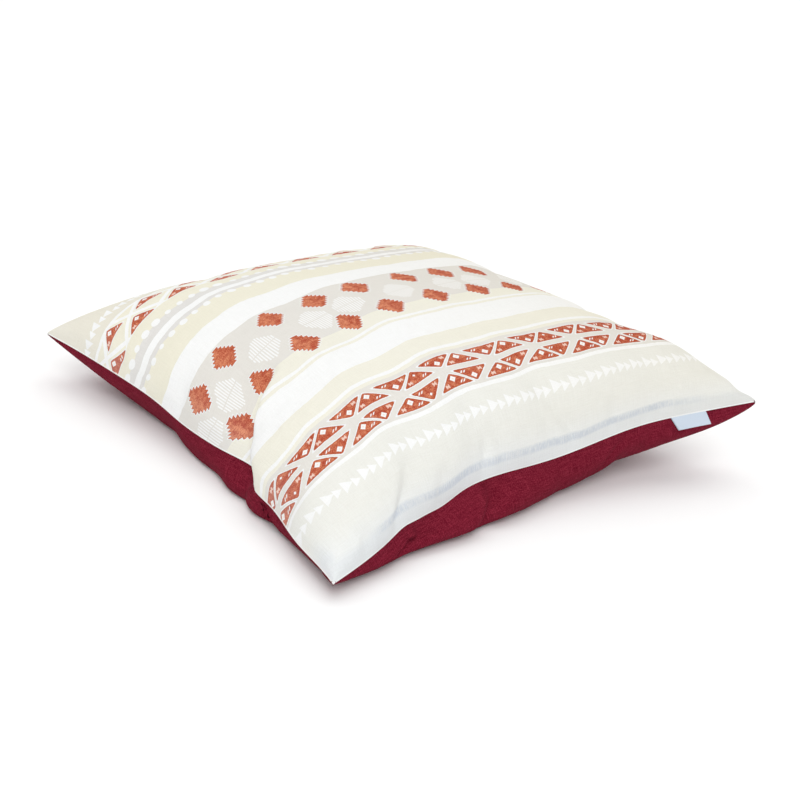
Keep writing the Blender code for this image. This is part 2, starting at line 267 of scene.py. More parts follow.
def plan(p, q):
    """Place over the floor, with each side drawn in between its corners."""
    s, t, half = (p + 1) / 2, (q + 1) / 2, SIDE / 2
    in_x = DRAWN_IN["left"] * (1 - s) + DRAWN_IN["right"] * s
    in_y = DRAWN_IN["front"] * (1 - t) + DRAWN_IN["back"] * t
    x = half * p - in_x * p * np.abs(p) * (1 - np.abs(q) ** SIDE_CURVE)
    y = half * q - in_y * q * np.abs(q) * (1 - np.abs(p) ** SIDE_CURVE)
    return x, y


def seam_profile(seam, start, end, t):
    """Height along one seam, from the heights of its two corners and of its middle."""
    start, end = CORNER_HEIGHT[start], CORNER_HEIGHT[end]
    straight = start * (1 - t) / 2 + end * (1 + t) / 2
    return straight + (MIDDLE_HEIGHT[seam] - (start + end) / 2) * (1 - t**2)


def seam_sheet(p, q):
    """Height of the smooth sheet that spans the four seams."""
    corner = CORNER_HEIGHT
    front = seam_profile("front", "front_left", "front_right", p)
    back = seam_profile("back", "back_left", "back_right", p)
    left = seam_profile("left", "front_left", "back_left", q)
    right = seam_profile("right", "front_right", "back_right", q)
    s, t = (p + 1) / 2, (q + 1) / 2
    flat = (1 - t) * ((1 - s) * corner["front_left"] + s * corner["front_right"])
    flat += t * ((1 - s) * corner["back_left"] + s * corner["back_right"])
    return (1 - t) * front + t * back + (1 - s) * left + s * right - flat


def swell(p, q, crown, fullness, steepness):
    """How far the filling lifts a panel, 0 at all seams and 1 at the crown."""
    lift = 1.0
    for t, middle in zip((p, q), crown):
        side = np.where(t < middle, (t - middle) / (1 + middle), (t - middle) / (1 - middle))
        lift = lift * np.clip(1 - np.abs(side) ** fullness, 0, 1) ** steepness
    return lift


def wave(p, q):
    """How far the waves of the seams move a place, fading into the panel."""
    move = np.zeros(p.shape + (3,))
    for row in SEAM_WAVES:
        along, inward, outward = seam_axes(row.seam, p, q)
        share = bump(along - row.at, row.low, row.high) * np.exp(-inward / WAVE_REACH)
        move += share[..., None] * (row.out * outward[0], row.out * outward[1], row.up)
    return move


def run_in(inward, peak, end):
    """Share of a fold's depth on its way in: none on the seam, all at its peak, none at its end."""
    rise = np.clip(inward / peak, 0, 1)
    fall = np.clip((end - inward) / (end - peak), 0, 1)
    return np.where(inward < peak, rise * (2 - rise), fall * fall * (3 - 2 * fall))


def trough(folds, p, q):
    """Depth of all the troughs of a panel at a place. It is zero on the seams themselves."""
    depth = np.zeros(p.shape)
    for row in folds:
        along, inward, _ = seam_axes(row.seam, p, q)
        across = along - row.at - row.lean * inward
        depth += row.depth * run_in(inward, row.peak, row.end) * bump(across, row.low, row.high)
    return depth


def pinch(p, q):
    """Depth of the pinch at a place, and how far its lip is drawn towards the back over the trough."""
    along, inward, _ = seam_axes("left", p, q)
    across = along - (PINCH_AT + PINCH_LEAN * inward - PINCH_CURVE * inward**2)
    share = run_in(inward, PINCH_PEAK, PINCH_END)
    hollow = bump(across - PINCH_TROUGH["offset"], PINCH_TROUGH["low"], PINCH_TROUGH["high"])
    lip = bump(across - PINCH_LIP["offset"], PINCH_LIP["low"], PINCH_LIP["high"])
    depth = share * (PINCH_TROUGH["depth"] * hollow - PINCH_LIP["rise"] * lip)
    return depth, share * PINCH_LIP["over"] * lip


def unit(vectors):
    """The same directions, each of length 1."""
    return vectors / np.linalg.norm(vectors, axis=-1, keepdims=True)


def normals(points):
    """Upward normals of a grid of points."""
    along_p = np.gradient(points, axis=1)
    along_q = np.gradient(points, axis=0)
    return unit(np.cross(along_p, along_q))


def raised(distance, half):
    """1 in the middle, falling smoothly to 0 at half on both sides."""
    return 0.5 + 0.5 * np.cos(np.clip(distance / half, -1, 1) * math.pi)


def front_skin(p, q):
    """Outer side of the printed panel, with its creases and the ears at its corners."""
    x, y = plan(p, q)
    lift = CROWN * swell(p, q, CROWN_SHIFT, CROWN_FULLNESS, CROWN_STEEPNESS)
    points = np.stack([x, y, seam_sheet(p, q) + lift], axis=-1) + wave(p, q)
    depth, over = pinch(p, q)
    points -= normals(points) * (trough(FRONT_FOLDS, p, q) + depth)[..., None]
    points[..., 1] += over
    points -= normals(points) * trough(FRONT_CREASES, p, q)[..., None]
    for row in EARS:
        across, along = (1 - p * row.along_p) * SIDE / 2, (1 - q * row.along_q) * SIDE / 2
        inside = np.clip(np.minimum(across, along) / EAR_SEAM, 0, 1)
        points[..., 2] -= row.depth * raised(np.hypot(across, along) - row.at, row.half) * inside
    return points


def beyond(t, stretch):
    """How far a place lies outside a stretch from its first to its last place, or 0 within it."""
    return np.maximum(np.maximum(stretch[0] - t, t - stretch[1]), 0)


def back_skin(p, q):
    """Outer side of the burgundy panel, bulging below its seams and flat where it rests."""
    x, y = plan(p, q)
    seam = seam_sheet(p, q)
    moved = wave(p, q)
    drop = BACK_DROP * swell(p, q, (0, 0), BACK_FULLNESS, BACK_STEEPNESS)
    free = seam + moved[..., 2] - drop + trough(BACK_FOLDS, p, q)
    soft = (free + FLOOR_ROUNDING) ** 2 / (4 * FLOOR_ROUNDING)
    z = np.where(free > FLOOR_ROUNDING, free, np.where(free < -FLOOR_ROUNDING, 0.0, soft))
    z = np.maximum(z, REST_LIFT * np.hypot(beyond(p, REST_ALONG_P), beyond(q, REST_ALONG_Q)))
    below = np.clip((1 - z / seam) / BULGE_DEPTH, 0, 1)
    part_way = below * (2 - below)
    for row in BACK_BULGES:
        along, inward, outward = seam_axes(row.seam, p, q)
        near = bump(along - row.at, row.half, row.half) * np.clip(1 - (inward / BULGE_REACH) ** 2, 0, 1)
        x = x + outward[0] * row.out * part_way * near
        y = y + outward[1] * row.out * part_way * near
    points = np.stack([x + moved[..., 0], y + moved[..., 1], z], axis=-1)
    share = np.clip(z / FLOOR_ROUNDING - 0.5, 0, 1)
    return points + normals(points) * (trough(BACK_CREASES, p, q) * share)[..., None]


def grid_places(count):
    """Places p and q of a grid with so many cells each way, closer together towards the seams."""
    even = np.linspace(-1.0, 1.0, count + 1)
    places = (1 - EVEN_SHARE) * np.sin(even * math.pi / 2) + EVEN_SHARE * even
    return np.meshgrid(places, places)


def flat_places(points, slips=()):
    """Where each point of a panel lies on its flat cut, in millimetres from the middle of the cut."""
    across = np.linalg.norm(np.diff(points, axis=1), axis=-1)
    along = np.linalg.norm(np.diff(points, axis=0), axis=-1)
    u = np.concatenate([np.zeros((len(points), 1)), np.cumsum(across, axis=1)], axis=1)
    v = np.concatenate([np.zeros((1, points.shape[1])), np.cumsum(along, axis=0)], axis=0)
    u, v = (u / u[:, -1:] - 0.5) * PANEL, (v / v[-1:] - 0.5) * PANEL
    near = [raised(u - row.u, row.half_u) * raised(v - row.v, row.half_v) for row in slips]
    shift_u = sum(share * row.along_u for share, row in zip(near, slips))
    shift_v = sum(share * row.along_v for share, row in zip(near, slips))
    return u + shift_u, v + shift_v


def rim(count):
    """Rows and columns of the four seams in a grid, once round from the front left corner."""
    k = np.arange(count - 1)
    first, last = k * 0, k * 0 + count - 1
    return np.concatenate([first, k, last, last - k]), np.concatenate([k, last, last - k, first])


def rim_outward(points, up):
    """For each place on the rim, the direction in which the panel runs out over its edge."""
    places = points[rim(len(points))]
    along = unit(np.roll(places, -1, axis=0) - np.roll(places, 1, axis=0))
    return unit(np.cross(along, up[rim(len(points))]))


def grid_faces(count, start, facing_up):
    """Faces of a square grid of points whose first index is start."""
    rows, columns = np.indices((count - 1, count - 1))
    first = start + rows * count + columns
    quads = np.stack([first, first + 1, first + count + 1, first + count], axis=-1).reshape(-1, 4)
    return quads if facing_up else quads[:, ::-1]


def band_faces(upper, lower):
    """Faces that close the strip between two rings of points, facing out."""
    return np.stack([lower, np.roll(lower, -1), np.roll(upper, -1), upper], axis=-1)


def smoothed(values, cells):
    """A grid of numbers, averaged over so many cells around each place."""
    reach = int(3 * cells)
    steps = np.arange(-reach, reach + 1)
    weights = np.exp(-0.5 * (steps / cells) ** 2)
    weights /= weights.sum()
    for _ in range(2):
        place = np.arange(len(values))
        values = sum(w * np.take(values, place + k, axis=0, mode="clip") for k, w in zip(steps, weights)).T
    return values


def finer(values, cells):
    """A coarse grid of numbers, brought to a grid with so many cells by cubic steps."""
    for _ in range(2):
        count = len(values) - 1
        place = np.arange(cells + 1) * count / cells
        first = np.clip(np.floor(place).astype(int), 0, count - 1)
        t = (place - first)[:, None]
        a, b, c, d = (np.take(values, first + k, axis=0, mode="clip") for k in (-1, 0, 1, 2))
        values = b + 0.5 * t * (c - a + t * (2 * a - 5 * b + 4 * c - d + t * (3 * (b - c) + d - a)))
        values = values.T
    return values


def settle():
    """Wrinkles of the two panels, from a simulation of the filled cover, as two grids of offsets."""
    p, q = grid_places(CLOTH_CELLS)
    front, back = front_skin(p, q), back_skin(p, q)
    up, down = normals(front), -normals(back)
    count = CLOTH_CELLS + 1
    size = count * count
    ring = np.ravel_multi_index(rim(count), (count, count))
    sewn = np.arange(2 * size)
    sewn[ring + size] = ring
    used, index = np.unique(sewn, return_inverse=True)
    filled = np.concatenate([front.reshape(-1, 3), back.reshape(-1, 3)])[used]
    cuts = [flat_places(front), flat_places(back)]
    flat = np.concatenate([np.stack([u, v, u * 0], axis=-1).reshape(-1, 3) / 1000 for u, v in cuts])[used]
    quads = np.concatenate([grid_faces(count, 0, True), grid_faces(count, size, False)])
    mesh = new_mesh("settling", filled, index[quads])
    cloth = added("settling", mesh)
    cloth.shape_key_add(name="filled")
    cut = cloth.shape_key_add(name="cut")
    cut.data.foreach_set("co", flat.ravel())
    pinned = cloth.vertex_groups.new(name="pinned")
    resting = np.nonzero(filled[:, 2] < CLOTH_RESTS)[0]
    pinned.add(index[ring].tolist() + resting.tolist(), 1.0, "REPLACE")
    modifier = cloth.modifiers.new("settling", "CLOTH")
    settings = set_up(modifier.settings, rest_shape_key=cut, **CLOTH_SETTINGS)
    settings.effector_weights.gravity = 0.0
    modifier.collision_settings.use_collision = False
    scene = set_up(bpy.context.scene, frame_start=1, frame_end=CLOTH_FRAMES)
    modifier.point_cache.frame_end = CLOTH_FRAMES
    for frame_number in range(1, CLOTH_FRAMES + 1):
        scene.frame_set(frame_number)
    posed = cloth.evaluated_get(bpy.context.evaluated_depsgraph_get())
    moved = np.empty(len(used) * 3)
    posed.data.vertices.foreach_get("co", moved)
    scene.frame_set(1)
    bpy.data.objects.remove(cloth)
    bpy.data.meshes.remove(mesh)
    offsets = np.zeros((2 * size, 3))
    offsets[used] = moved.reshape(-1, 3) - filled
    from_seam = np.minimum(*(np.minimum(k, CLOTH_CELLS - k) for k in np.indices((count, count))))
    edge = np.minimum(1.0, from_seam / WRINKLE_FADE)
    kept = []
    for grid, facing in zip(offsets.reshape(2, count, count, 3), (up, down)):
        proud = (grid * facing).sum(axis=-1)
        fine = proud - smoothed(proud, WRINKLE_CELLS)
        fine = WRINKLE_LIMIT * np.tanh(fine / WRINKLE_LIMIT) * edge
        kept.append(finer(fine, CELLS))
    return kept


def finished(name, mesh, look, sharp):
    """The mesh as an object with its material, smooth but for edges sharper than so many degrees."""
    mesh.materials.append(look)
    mesh.shade_smooth()
    mesh.set_sharp_from_angle(angle=math.radians(sharp))
    return added(name, mesh)


def shell(name, outer, inner, flat, look):
    """A closed piece between two grids, with the flat cut's places as its texture map on the outer one."""
    count = len(outer)
    size = count * count
    ring = np.ravel_multi_index(rim(count), (count, count))
    sides = [grid_faces(count, 0, True), grid_faces(count, size, False), band_faces(ring, ring + size)]
    faces = np.concatenate(sides)
    points = np.concatenate([outer.reshape(-1, 3), inner.reshape(-1, 3)]) - BOX_MIDDLE
    mesh = new_mesh(name, points, faces)
    corners = faces.reshape(-1)
    mapped = (np.stack(flat, axis=-1).reshape(-1, 2) / PANEL * MAP_FILL + 0.5)[corners % size]
    hidden = np.stack([mapped[:, 0], np.where(corners < size, *HIDDEN_ROWS)], axis=-1)
    shown = np.arange(len(corners)) < 4 * (count - 1) ** 2
    layer = mesh.uv_layers.new(name="OFBake")
    layer.uv.foreach_set("vector", np.where(shown[:, None], mapped, hidden).ravel())
    return finished(name, mesh, look, SHARP_CLOTH)


def feed(node, inputs):
    """Each input of a node joined to a number or a socket, or set to a value or a colour."""
    for name, item in inputs.items():
        if isinstance(item, Number):
            item = item.socket
        if isinstance(item, bpy.types.NodeSocket):
            node.id_data.links.new(item, node.inputs[name])
        else:
            node.inputs[name].default_value = (*item, 1.0) if isinstance(item, tuple) else item


def new_node(tree, kind, inputs, **settings):
    node = set_up(tree.nodes.new(kind), **settings)
    feed(node, inputs)
    return node


class Number:
    """A number that a material works out at each point. Arithmetic with it adds math nodes."""

    def __init__(self, socket):
        self.socket = socket

    def apply(self, operation, *others, clamp=False):
        inputs = dict(enumerate((self, *others)))
        tree = self.socket.id_data
        node = new_node(tree, "ShaderNodeMath", inputs, operation=operation, use_clamp=clamp)
        return Number(node.outputs[0])

    __add__ = __radd__ = partialmethod(apply, "ADD")
    __sub__ = partialmethod(apply, "SUBTRACT")
    __mul__ = __rmul__ = partialmethod(apply, "MULTIPLY")
    __truediv__ = partialmethod(apply, "DIVIDE")
    __abs__ = partialmethod(apply, "ABSOLUTE")
    least = partialmethod(apply, "MINIMUM")
    most = partialmethod(apply, "MAXIMUM")
    root = partialmethod(apply, "SQRT")
    sign = partialmethod(apply, "SIGN")
    floor = partialmethod(apply, "FLOOR")
    share = partialmethod(apply, "ADD", 0.0, clamp=True)

    def __rsub__(self, other):
        return (self * -1.0) + other

    def wrap(self, half):
        """The same number brought between -half and half by whole repeats."""
        return self.apply("WRAP", half, -half)

    def sine(self, pitch):
        return (self * (2 * math.pi / pitch)).apply("SINE")

    def over(self, edge, soft):
        """0 below an edge, 1 above it, with a soft step between."""
        return ((self - edge) / soft).apply("ADD", 0.5, clamp=True)

    def under(self, edge, soft):
        return 1.0 - self.over(edge, soft)


class Cloth:
    """A material for cloth, with the place on the flat cut in millimetres as two numbers, u and v."""

    def __init__(self, name, roughness, sheen, shine):
        self.material = bpy.data.materials.new(name)
        self.material.use_nodes = True
        self.tree = self.material.node_tree
        self.shader = self.tree.nodes["Principled BSDF"]
        feed(self.shader, {"Roughness": roughness, "Sheen Weight": sheen, "Specular IOR Level": shine})
        place = self.node("ShaderNodeUVMap", {}, uv_map="OFBake")
        parts = self.node("ShaderNodeSeparateXYZ", {0: place.outputs["UV"]})
        self.u, self.v = (self.centred(part) * (PANEL / MAP_FILL) for part in parts.outputs[:2])

    def node(self, kind, inputs, **settings):
        return new_node(self.tree, kind, inputs, **settings)

    def centred(self, socket):
        """A socket's value, less a half."""
        return Number(socket) - 0.5

    def noise(self, size_u, size_v, detail=2.0, seed=0.0, turned=False):
        """Noise over the cloth, from about -0.5 to 0.5, with the given grain, straight or on the bias."""
        u, v = (self.u + self.v, self.u - self.v) if turned else (self.u, self.v)
        place = self.node("ShaderNodeCombineXYZ", {0: u / size_u, 1: v / size_v, 2: seed})
        inputs = {"Scale": 1.0, "Detail": detail, "Vector": place.outputs[0]}
        return self.centred(self.node("ShaderNodeTexNoise", inputs).outputs["Fac"])

    def chance(self, index, seed):
        """A number from -0.5 to 0.5 that is the same for the same index."""
        node = self.node("ShaderNodeTexWhiteNoise", {"W": index + seed}, noise_dimensions="1D")
        return self.centred(node.outputs["Value"])

    def mixed(self, share, under, over, blend="MIX"):
        """Colour under, covered or multiplied by colour over where share is 1. Each may be a socket."""
        inputs = {"Factor": share, 6: under, 7: over}
        return self.node("ShaderNodeMix", inputs, data_type="RGBA", blend_type=blend).outputs[2]

    def bands(self, place, rows):
        """Plain colours in bands, each from its start onwards."""
        ramp = self.node("ShaderNodeValToRGB", {0: place / PANEL + 0.5})
        ramp.color_ramp.interpolation = "CONSTANT"
        stops = ramp.color_ramp.elements
        stops.remove(stops[1])
        for start, colour in rows:
            at = start / PANEL + 0.5
            stop = stops.new(at) if at > 0 else stops[0]
            stop.color = (*colour, 1.0)
        return ramp.outputs["Color"]

    def relief(self, height, distance):
        inputs = {"Strength": 1.0, "Distance": distance, "Height": height}
        feed(self.shader, {"Normal": self.node("ShaderNodeBump", inputs).outputs["Normal"]})

    def finish(self, colour):
        feed(self.shader, {"Base Color": colour})
        return self.material


# Colours of the cloths and inks, and of painted shade
CREAM = (0.81, 0.792, 0.695)
CREAM_FAR = (0.805, 0.778, 0.65)
PALE = (0.783, 0.783, 0.738)
BACK_CREAM = (0.765, 0.735, 0.64)
WHITE = (0.87, 0.875, 0.87)
HALO = (0.83, 0.84, 0.85)
GREIGE = (0.73, 0.708, 0.664)
GREY = (0.715, 0.7, 0.675)
RUST = (0.41, 0.064, 0.032)
RUST_LIGHT = (0.69, 0.262, 0.138)
RUST_RIM = (0.44, 0.095, 0.028)
RUST_PALE = (0.82, 0.59, 0.5)
# Grey of the seam allowance showing through, also used for painted shade along the seams
SHOW_THROUGH_AND_SHADE_GREY = (0.6, 0.64, 0.69)
SEAM_PALE = (0.8, 0.822, 0.83)
# Painted shade: a warm, darker tint multiplied over the print towards the right and the back, where less
# light falls
WARM_SHADE = (0.93, 0.9, 0.84)
BURGUNDY_DARK = (0.11, 0.003, 0.013)
BURGUNDY_LIGHT = (0.262, 0.024, 0.046)
TAPE_WHITE = (0.54, 0.61, 0.7)

# The print's bands, each with its start in millimetres from the panel's middle, from the front seam
# to the back one
BANDS = (
    (-225, PALE), (-156.5, WHITE), (-153.5, GREIGE), (-114.3, CREAM), (-111.6, WHITE), (-108.4, CREAM),
    (-91, WHITE), (-61.3, CREAM), (-57.6, WHITE), (-54.3, CREAM), (-36, GREIGE), (31, WHITE),
    (57.5, CREAM_FAR), (86, GREY), (90.5, WHITE), (98, GREY), (106, CREAM_FAR), (152.6, WHITE),
    (155, BACK_CREAM),
)

# Soft edge of the inks, the outline round each rust motif and its darker rim, and the repeat
INK_EDGE = 0.25
OUTLINE = 0.75
INK_RIM = 0.7
REPEAT = 42.4

# Rust triangles. Those of the front lattice stand in two courses on each side of its middle line:
# outer ones on the band's border, pointing to the line, and inner ones by the line, pointing away.
# A course gives where one triangle's middle stands, its base line, its half width and its height.
LATTICE_MIDDLE = -134.2
Course = namedtuple("Course", "at base half height")
OUTER = Course(-136.6, 15.8, 15.3, 12)
INNER = Course(-160.3, 2.8, 14.6, 12.9)
BACK_LOWER = Course(-175.3, 122, 15.4, 13.2)
BACK_UPPER = Course(-197.8, 141.2, 14, 12.6)

# Each rust triangle: how rounded its tip and its base's ends are, its diamond window, which is less in
# every third of the inner ones, how high its marks stand, a pair of leaning ticks on its right, and a
# cross on its left
TIP_ROUND = 1.4
TIP_DROP = 0.4
BASE_ROUND = 3.0
WINDOW = {"drop": 5.1, "half": 2.8, "less": 1.5}
MARK_HEIGHT = 2.8
TICKS = {"at": 7, "lean": 0.9, "apart": 1.25, "half": 0.62, "reach": 1}
CROSS = {"at": -7.6, "half": 0.6, "reach_u": 1.9, "reach_v": 1.5}

# White triangles in a chain: the row's middle, its repeat of one large and one small, where a large
# one stands, which way they point, and the length and width of the large one and of the small one
Chain = namedtuple("Chain", "middle repeat first way large small")
FRONT_CHAIN = Chain(-171.8, 15.75, -207.8, 1, (8.4, 10.6), (6.4, 8.6))
BACK_CHAIN = Chain(169.5, 15.8, -212, -1, (8.2, 10.8), (6.6, 8.8))

# Dots: the row's middle, its pitch, where a dot stands, and its half width and half height. Their
# sizes are the mean size, and by chance so much more or less.
Dots = namedtuple("Dots", "middle pitch first half_u half_v")
LOWER_DOTS = Dots(84.5, 13.15, -185, 3.3, 3.2)
UPPER_DOTS = Dots(108.2, 13.15, -183.5, 3.8, 3.1)
DOT_SIZE = 0.98
DOT_CHANCE = 0.45

# Diamonds in the middle band: each row's middle, and where its three motifs stand in a repeat
Row = namedtuple("Row", "middle places")
UPPER_DIAMONDS = Row(15.8, (-162.5, -113.5, -72.5))
LOWER_DIAMONDS = Row(-32.5, (-162, -119.5, -76))
LEAVES = Row(-10.2, (-140, -91, -58.5))
DIAMOND_HALF = (11.2, 13.9)
DIAMOND_STEP = (2.10, 2.95)
DIAMOND_HOOK = 1.1
DIAMOND_ZONE = (-60, 40)
LEAF_HALF = 12.6
LEAF_HEIGHTS = (17.4, 4.8)
LEAF_SLAT = 2.15
LEAF_LEAN = 0.08

# Back lattice: its lowest knots, half a repeat and a rise from knot to knot, its ribbon's width, and
# where it starts and ends
KNOT = (-196.5, 124)
KNOT_STEP = (21.2, 17.2)
RIBBON = 3.8
LATTICE_ENDS = (121.5, 154)

# The strip of inner cloth that shows through, mostly beside the front seam, deepened with painted shade
# towards the seam: where that begins, how far in its line lies, which is partly painted shade of the
# allowance's step, how far in the strip and its painted shade reach, from where to where the line shows
# most, how far in the cloth is paler, how wide the painted highlight on the very edge is, and where the
# painted warm shade begins
STRIP_ZONE = -196
STRIP_INSET = 12.8
ALLOWANCE_AND_SHADE_WIDTH = 12
STRIP_ENDS = (-168, 158)
PALER_WIDTH = 24
EDGE_HIGHLIGHT_WIDTH = 1.1
WARM_SHADE_START = 90


class Print(Cloth):
    """The printed canvas. Each motif is a number that is above 0 inside it, in millimetres."""

    def __init__(self):
        super().__init__("printed_canvas_look", roughness=0.85, sheen=0.02, shine=0.1)
        self.ragged = self.noise(1.4, 1.4, seed=5.0)
        self.waver = self.noise(9.0, 9.0, seed=3.0)

    def paint(self, colour, inside, ink):
        return self.mixed(inside.over(0.0, INK_EDGE), colour, ink)

    def triangle(self, course, y, way, dotted=False):
        """A course of rust triangles, with their windows and marks. Y is the height over their base."""
        index = ((self.u - course.at) / REPEAT + 0.5).floor()
        x = (self.u - course.at - index * REPEAT) * way
        slope = math.hypot(course.half, course.height)
        rounded = (x * x + TIP_ROUND).root() - TIP_DROP
        side = (y * -course.half - rounded * course.height + course.half * course.height) / slope
        inside = side.apply("SMOOTH_MIN", y, BASE_ROUND) + self.ragged * 0.7
        window = WINDOW["half"] - (abs(x) + abs(y - (course.height - WINDOW["drop"])))
        if dotted:
            third = abs((index / 3.0 + 0.8333).apply("FRACT") - 0.5).under(0.2, 0.01)
            window = window - third * WINDOW["less"]
        up = y - MARK_HEIGHT
        pair = TICKS["half"] - abs(abs(x - TICKS["at"] - up * TICKS["lean"]) - TICKS["apart"])
        pair = pair.least(TICKS["reach"] - abs(up))
        aside, up = abs(x - CROSS["at"]), abs(up)
        cross = (abs(aside - up) * -1.0 + CROSS["half"]).most(CROSS["half"] - up)
        cross = cross.least(CROSS["reach_u"] - aside).least(CROSS["reach_v"] - up)
        return inside, window + self.ragged * 0.5, pair + self.ragged * 0.3, cross + self.ragged * 0.5

    def chain(self, row):
        """White triangles, a large one and a small one by turns."""
        index = ((self.u - row.first) / row.repeat).floor()
        x = self.u - row.first - index * row.repeat
        if row.way < 0:
            x = row.repeat - x
        y = self.v - row.middle + self.chance(index, 11.0) * 1.6 + self.waver * 1.2
        large = ((row.large[0] - x) * (row.large[1] / row.large[0] / 2) - abs(y)).least(x)
        x = x - row.large[0] + 0.2
        small = ((row.small[0] - x) * (row.small[1] / row.small[0] / 2) - abs(y + 1.2)).least(x)
        return large.most(small) + self.ragged * 0.8

    def dots(self, row):
        index = ((self.u - row.first) / row.pitch + 0.5).floor()
        x = (self.u - row.first - index * row.pitch + self.chance(index, 31.0) * 1.2) / row.half_u
        y = (self.v - row.middle + self.chance(index, 41.0) * 1.2) / row.half_v
        size = self.chance(index, row.middle) * DOT_CHANCE + DOT_SIZE
        return (size - (x * x + y * y).root()) * row.half_v + self.ragged * 0.8

    def lattice(self):
        s = (self.u - KNOT[0]) / KNOT_STEP[0]
        t = (self.v - KNOT[1]) / KNOT_STEP[1]
        spread = KNOT_STEP[0] * KNOT_STEP[1] / math.hypot(*KNOT_STEP)
        ribbon = abs((s + t).wrap(1.0)).least(abs((s - t).wrap(1.0))) * -spread + RIBBON / 2
        return ribbon.least(self.v - LATTICE_ENDS[0]).least(LATTICE_ENDS[1] - self.v) + self.ragged * 0.5

    def along_row(self, row):
        """Offset along the row from the nearest motif of the three that repeat."""
        nearest = (self.u - row.places[0]).wrap(1.5 * REPEAT)
        for place in row.places[1:]:
            other = (self.u - place).wrap(1.5 * REPEAT)
            nearest = nearest + (other - nearest) * (abs(nearest) - abs(other)).apply("GREATER_THAN", 0.0)
        return nearest

    def diamond(self, row, grow):
        """Stepped diamonds, grown by so many millimetres."""
        x, y = abs(self.along_row(row)), abs(self.v - row.middle)
        step = ((y - grow).most(0.0) + 0.45) / DIAMOND_STEP[1]
        hook = (step - step.floor() - 0.4) * DIAMOND_HOOK
        width = DIAMOND_HALF[0] + grow - step.floor() * DIAMOND_STEP[0] + hook
        return (width - x).least(DIAMOND_HALF[1] + grow - y) + self.ragged * 0.5

    def leaves(self):
        """White diamonds of leaning slats, with a thin rib through each."""
        x, y = self.along_row(LEAVES), self.v - LEAVES.middle
        lean = x - y * LEAF_LEAN
        index = (lean / LEAF_SLAT).floor()
        middle = (index + 0.5) * LEAF_SLAT
        fall = (LEAF_HEIGHTS[0] - LEAF_HEIGHTS[1]) / LEAF_HALF
        reach = abs(middle) * -fall + LEAF_HEIGHTS[0] + self.chance(index, 5.0) * 2.4
        slat = (LEAF_SLAT * 0.25 - abs(lean - middle)).least(reach - abs(y)).least(LEAF_HALF - abs(middle))
        return slat.least(abs(y - x * LEAF_LEAN) - 0.5) + self.ragged * 0.2

    def ink(self):
        """Rust, mottled, lighter on the left of each diamond, and darker towards the right with painted
        shade.
        """
        fibres = self.noise(1.0, 1.0, 4.0, seed=9.0)
        blotch = self.noise(4.5, 4.5, seed=13.0)
        left = self.along_row(UPPER_DIAMONDS).least(0.0).under(-0.5, 2.0) * self.v.over(0.0, 1.0)
        left = left + self.along_row(LOWER_DIAMONDS).under(-0.5, 2.0) * self.v.under(-15.0, 1.0)
        left = left * self.v.over(DIAMOND_ZONE[0], 1.0) * self.v.under(DIAMOND_ZONE[1], 1.0)
        # Painted shade: the last term darkens the rust towards the right, where less light falls.
        light = fibres * 3.0 + blotch * 2.2 + left * 0.30 - (self.u / 120.0).share() * 0.2 + 0.30
        return self.mixed(light.share(), RUST, RUST_LIGHT)

    def colour(self):
        v = self.v
        colour = self.bands(v + self.waver * 1.4 + self.ragged * 0.4, BANDS)
        rows = [self.chain(row) for row in (FRONT_CHAIN, BACK_CHAIN)]
        rows += [self.dots(row) for row in (LOWER_DOTS, UPPER_DOTS)]
        for inside in rows + [self.lattice(), self.leaves()]:
            colour = self.paint(colour, inside, WHITE)
        ink = self.ink()
        aside = v - LATTICE_MIDDLE
        courses = (
            (OUTER, OUTER.base - abs(aside), aside.sign() * -1.0, False),
            (INNER, abs(aside) - INNER.base, aside.sign(), True),
            (BACK_LOWER, v - BACK_LOWER.base, 1.0, False),
            (BACK_UPPER, v - BACK_UPPER.base, 1.0, False),
        )
        for course, y, way, dotted in courses:
            inside, window, ticks, cross = self.triangle(course, y, way, dotted)
            colour = self.paint(colour, inside + OUTLINE, HALO)
            colour = self.paint(colour, inside, RUST_RIM)
            colour = self.paint(colour, inside - INK_RIM, ink)
            colour = self.paint(colour, cross, RUST_PALE)
            colour = self.paint(colour, window.most(ticks), WHITE)
            colour = self.mixed((window - 1.8).over(0.0, 0.8) * 0.6, colour, RUST_PALE)
        for row in (UPPER_DIAMONDS, LOWER_DIAMONDS):
            colour = self.paint(colour, self.diamond(row, OUTLINE), HALO)
            inside = self.diamond(row, 0.0)
            colour = self.paint(colour, inside, RUST_RIM)
            colour = self.paint(colour, inside - INK_RIM, ink)
        return colour

    def seams_and_painted_light(self, colour):
        """The folded edge of the cloth inside shows through as a grey strip along each seam, deepened
        towards the seam with painted shade. Also a paler band by the front seam, a warmer, darker painted
        shade towards the right and the back, and a painted highlight on the very edge.
        """
        inset = abs(self.u).most(abs(self.v)) * -1.0 + PANEL / 2
        near_front = self.v.under(STRIP_ZONE, 20.0) * 0.9 + 0.1
        lining = self.u.over(STRIP_ENDS[0], 30.0) * self.u.under(STRIP_ENDS[1], 40.0)
        blotch = (self.noise(34.0, 34.0, seed=51.0) * 2.0 + 0.85).share()
        fleck = (self.noise(1.2, 5.0, 3.0, seed=53.0) * 2.4 + 0.75).share()
        wander = self.noise(60.0, 60.0, 1.0, seed=57.0) * 6.0
        line = 1.7 - abs(inset - STRIP_INSET + wander) / 2.4
